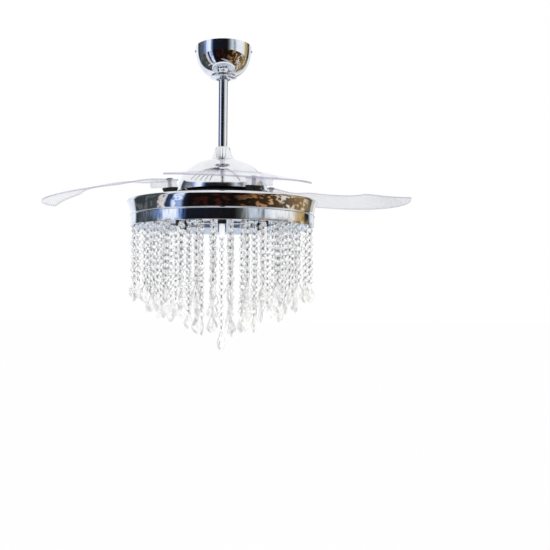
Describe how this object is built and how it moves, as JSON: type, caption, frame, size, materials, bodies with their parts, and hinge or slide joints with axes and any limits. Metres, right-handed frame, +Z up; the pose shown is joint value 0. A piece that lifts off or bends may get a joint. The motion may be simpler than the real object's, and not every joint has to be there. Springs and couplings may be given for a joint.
{
  "type": "retractable blade ceiling fan",
  "caption": "Chandelier ceiling fan: clear blades swing out from above a polished lamp ring hung with crystal strands, on a downrod under a bowl canopy.",
  "frame": {"origin": "centre of the hanger bracket's top face, where it meets the ceiling", "axes": "+Z up into the ceiling; -Y towards the viewer of the picture, where the first blade points"},
  "size_m": [0.9624, 0.9624, 0.8011],
  "materials": {
    "chrome": "polished chrome plate",
    "mirror_steel": "mirror-polished sheet",
    "zinc_steel": "zinc plated",
    "spring_steel": "bright",
    "cast_aluminium": "as cast",
    "black_enamel": "satin enamel",
    "black_nylon": "moulded",
    "black_phenolic": "glossy",
    "white_plastic": "moulded",
    "winding": "enamelled copper wire",
    "clear_acrylic": "clear, polished",
    "crystal": "clear, faceted",
    "bulb_glass": "clear"
  },
  "bodies": {
    "ceiling_mount": {"hanger_bracket": "zinc_steel", "canopy": "chrome", "canopy_screw_1": "chrome", "canopy_screw_2": "chrome", "canopy_trim_ring": "chrome", "receiver_box": "white_plastic"},
    "hanging_column": {"hanger_ball": "black_nylon", "ball_cross_pin": "zinc_steel", "downrod": "chrome", "motor_yoke": "cast_aluminium", "yoke_pin": "zinc_steel", "yoke_cover": "chrome", "dome_cover": "chrome", "motor_shaft": "zinc_steel", "stator_core": "winding", "upper_bearing": "spring_steel", "lower_bearing": "spring_steel", "shaft_nut": "zinc_steel", "tray_pan": "mirror_steel", "ring_upper_band": "chrome", "ring_lower_band": "chrome", "lamp_driver": "white_plastic", "crystal_plate": "mirror_steel", "lamp_socket_1": "black_phenolic", "lamp_socket_2": "black_phenolic", "lamp_socket_3": "black_phenolic", "lamp_socket_4": "black_phenolic", "lamp_socket_5": "black_phenolic", "lamp_socket_6": "black_phenolic", "bulb_1": "bulb_glass", "bulb_2": "bulb_glass", "bulb_3": "bulb_glass", "bulb_4": "bulb_glass", "bulb_5": "bulb_glass", "bulb_6": "bulb_glass", "crystal_sector_1": "crystal", "crystal_sector_2": "crystal", "crystal_sector_3": "crystal", "crystal_sector_4": "crystal", "crystal_sector_5": "crystal", "crystal_sector_6": "crystal"},
    "rotor": {"rotor_upper_bell": "cast_aluminium", "rotor_lower_bell": "black_enamel", "blade_carrier": "black_enamel", "pivot_bolt_1": "zinc_steel", "pivot_bolt_2": "zinc_steel", "pivot_bolt_3": "zinc_steel", "pivot_bolt_4": "zinc_steel", "return_spring_1": "spring_steel", "return_spring_2": "spring_steel", "return_spring_3": "spring_steel", "return_spring_4": "spring_steel"},
    "blade_arm_1": {"swivel_bracket_1": "black_nylon", "blade_1": "clear_acrylic"},
    "blade_arm_2": {"swivel_bracket_2": "black_nylon", "blade_2": "clear_acrylic"},
    "blade_arm_3": {"swivel_bracket_3": "black_nylon", "blade_3": "clear_acrylic"},
    "blade_arm_4": {"swivel_bracket_4": "black_nylon", "blade_4": "clear_acrylic"}
  },
  "joints": [
    {"name": "ball_tilt", "type": "hinge", "parent": "ceiling_mount", "child": "hanging_column", "pos_m": [0, 0, -0.042], "axis": [1, 0, 0], "range_deg": [-4, 4]},
    {"name": "rotor_spin", "type": "hinge", "parent": "hanging_column", "child": "rotor", "pos_m": [0, 0, -0.362], "axis": [0, 0, 1], "continuous": true},
    {"name": "blade_fold_1", "type": "hinge", "parent": "rotor", "child": "blade_arm_1", "pos_m": [0.0775, -0.13423, -0.364], "axis": [0.0566, -0.098, 0.9936], "range_deg": [-103, 0]},
    {"name": "blade_fold_2", "type": "hinge", "parent": "rotor", "child": "blade_arm_2", "pos_m": [0.13423, 0.0775, -0.364], "axis": [0.098, 0.0566, 0.9936], "range_deg": [-103, 0]},
    {"name": "blade_fold_3", "type": "hinge", "parent": "rotor", "child": "blade_arm_3", "pos_m": [-0.0775, 0.13423, -0.364], "axis": [-0.0566, 0.098, 0.9936], "range_deg": [-103, 0]},
    {"name": "blade_fold_4", "type": "hinge", "parent": "rotor", "child": "blade_arm_4", "pos_m": [-0.13423, -0.0775, -0.364], "axis": [-0.098, -0.0566, 0.9936], "range_deg": [-103, 0]}
  ]
}
